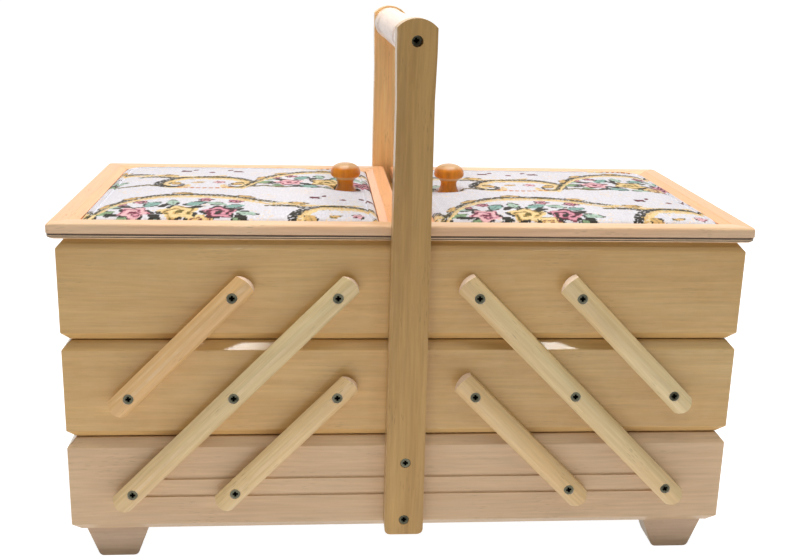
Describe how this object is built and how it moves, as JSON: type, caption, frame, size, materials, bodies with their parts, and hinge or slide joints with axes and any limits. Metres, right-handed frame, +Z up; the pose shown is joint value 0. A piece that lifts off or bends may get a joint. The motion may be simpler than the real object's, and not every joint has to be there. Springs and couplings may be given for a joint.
{
  "type": "cantilever sewing box",
  "caption": "Wooden cantilever sewing box whose trays swing out level on arms, with padded hinged lids and a turned carrying handle between posts.",
  "frame": {"origin": "on the ground, below the middle of the box", "axes": "+Z up, +X along the length of the box to the right, +Y to the rear post"},
  "size_m": [0.45, 0.2516, 0.3601],
  "materials": {
    "lacquered_wood": "clear satin lacquer over pale straight-grained wood",
    "arm_wood": "clear satin lacquer over pale wood",
    "rail_wood": "clear satin lacquer over pale wood",
    "handle_wood": "clear satin lacquer over turned pale wood",
    "plywood": "thin plywood with dark glue lines at its edges",
    "knob_varnish": "glossy orange-brown varnish over turned wood",
    "upholstery": "woven furnishing fabric with a flower and scroll pattern",
    "zinc": "yellowish zinc plating",
    "brass": "plain rolled brass"
  },
  "bodies": {
    "base": {"base_box": "lacquered_wood", "base_floor": "plywood", "foot_front_left": "lacquered_wood", "foot_front_right": "lacquered_wood", "foot_rear_left": "lacquered_wood", "foot_rear_right": "lacquered_wood", "post_front": "lacquered_wood", "post_rear": "lacquered_wood", "handle_rod": "handle_wood", "post_screw_front_lower": "zinc", "post_screw_front_upper": "zinc", "post_screw_rear_lower": "zinc", "post_screw_rear_upper": "zinc", "handle_screw_front": "zinc", "handle_screw_rear": "zinc"},
    "left_long_arms": {"arm_long_left_front": "arm_wood", "arm_long_left_rear": "arm_wood"},
    "left_lower_arms": {"arm_lower_left_front": "arm_wood", "arm_lower_left_rear": "arm_wood"},
    "left_upper_arms": {"arm_upper_left_front": "arm_wood", "arm_upper_left_rear": "arm_wood"},
    "left_middle_tray": {"tray_middle_left": "lacquered_wood", "tray_middle_left_floor": "plywood", "tray_middle_left_divider": "plywood"},
    "left_top_tray": {"tray_top_left": "lacquered_wood", "tray_top_left_floor": "plywood", "tray_top_left_divider": "plywood", "hinge_tray_leaf_left_front": "brass", "hinge_tray_leaf_left_rear": "brass"},
    "left_lid": {"lid_board_left": "plywood", "lid_frame_left": "rail_wood", "lid_pad_left": "upholstery", "lid_knob_left": "knob_varnish", "knob_screw_left": "zinc", "hinge_lid_leaf_left_front": "brass", "hinge_lid_leaf_left_rear": "brass"},
    "right_long_arms": {"arm_long_right_front": "arm_wood", "arm_long_right_rear": "arm_wood"},
    "right_lower_arms": {"arm_lower_right_front": "arm_wood", "arm_lower_right_rear": "arm_wood"},
    "right_upper_arms": {"arm_upper_right_front": "arm_wood", "arm_upper_right_rear": "arm_wood"},
    "right_middle_tray": {"tray_middle_right": "lacquered_wood", "tray_middle_right_floor": "plywood", "tray_middle_right_divider": "plywood"},
    "right_top_tray": {"tray_top_right": "lacquered_wood", "tray_top_right_floor": "plywood", "tray_top_right_divider": "plywood", "hinge_tray_leaf_right_front": "brass", "hinge_tray_leaf_right_rear": "brass"},
    "right_lid": {"lid_board_right": "plywood", "lid_frame_right": "rail_wood", "lid_pad_right": "upholstery", "lid_knob_right": "knob_varnish", "knob_screw_right": "zinc", "hinge_lid_leaf_right_front": "brass", "hinge_lid_leaf_right_rear": "brass"}
  },
  "joints": [
    {"name": "left_open", "type": "hinge", "parent": "base", "child": "left_long_arms", "pos_m": [-0.177, 0, 0.0544], "axis": [0, -1, 0], "range_deg": [0, 89]},
    {"name": "left_middle_tray_level", "type": "hinge", "parent": "left_long_arms", "child": "left_middle_tray", "pos_m": [-0.1109, 0, 0.1212], "axis": [0, -1, 0], "range_deg": [-89, 0]},
    {"name": "left_top_tray_level", "type": "hinge", "parent": "left_long_arms", "child": "left_top_tray", "pos_m": [-0.0448, 0, 0.188], "axis": [0, -1, 0], "range_deg": [-89, 0]},
    {"name": "left_lower_arms_swing", "type": "hinge", "parent": "base", "child": "left_lower_arms", "pos_m": [-0.1109, 0, 0.0544], "axis": [0, -1, 0], "range_deg": [0, 89]},
    {"name": "left_upper_arms_swing", "type": "hinge", "parent": "left_middle_tray", "child": "left_upper_arms", "pos_m": [-0.177, 0, 0.1212], "axis": [0, -1, 0], "range_deg": [0, 89]},
    {"name": "left_lid", "type": "hinge", "parent": "left_top_tray", "child": "left_lid", "pos_m": [-0.22125, 0, 0.2198], "axis": [0, -1, 0], "range_deg": [0, 110]},
    {"name": "right_open", "type": "hinge", "parent": "base", "child": "right_long_arms", "pos_m": [0.177, 0, 0.0544], "axis": [0, 1, 0], "range_deg": [0, 89]},
    {"name": "right_middle_tray_level", "type": "hinge", "parent": "right_long_arms", "child": "right_middle_tray", "pos_m": [0.1109, 0, 0.1212], "axis": [0, 1, 0], "range_deg": [-89, 0]},
    {"name": "right_top_tray_level", "type": "hinge", "parent": "right_long_arms", "child": "right_top_tray", "pos_m": [0.0448, 0, 0.188], "axis": [0, 1, 0], "range_deg": [-89, 0]},
    {"name": "right_lower_arms_swing", "type": "hinge", "parent": "base", "child": "right_lower_arms", "pos_m": [0.1109, 0, 0.0544], "axis": [0, 1, 0], "range_deg": [0, 89]},
    {"name": "right_upper_arms_swing", "type": "hinge", "parent": "right_middle_tray", "child": "right_upper_arms", "pos_m": [0.177, 0, 0.1212], "axis": [0, 1, 0], "range_deg": [0, 89]},
    {"name": "right_lid", "type": "hinge", "parent": "right_top_tray", "child": "right_lid", "pos_m": [0.22125, 0, 0.2198], "axis": [0, 1, 0], "range_deg": [0, 110]}
  ],
  "couplings": [
    {"joint": "left_middle_tray_level", "follows": "left_open", "ratio": -1},
    {"joint": "left_top_tray_level", "follows": "left_open", "ratio": -1},
    {"joint": "left_lower_arms_swing", "follows": "left_open", "ratio": 1},
    {"joint": "left_upper_arms_swing", "follows": "left_open", "ratio": 1},
    {"joint": "right_middle_tray_level", "follows": "right_open", "ratio": -1},
    {"joint": "right_top_tray_level", "follows": "right_open", "ratio": -1},
    {"joint": "right_lower_arms_swing", "follows": "right_open", "ratio": 1},
    {"joint": "right_upper_arms_swing", "follows": "right_open", "ratio": 1}
  ]
}
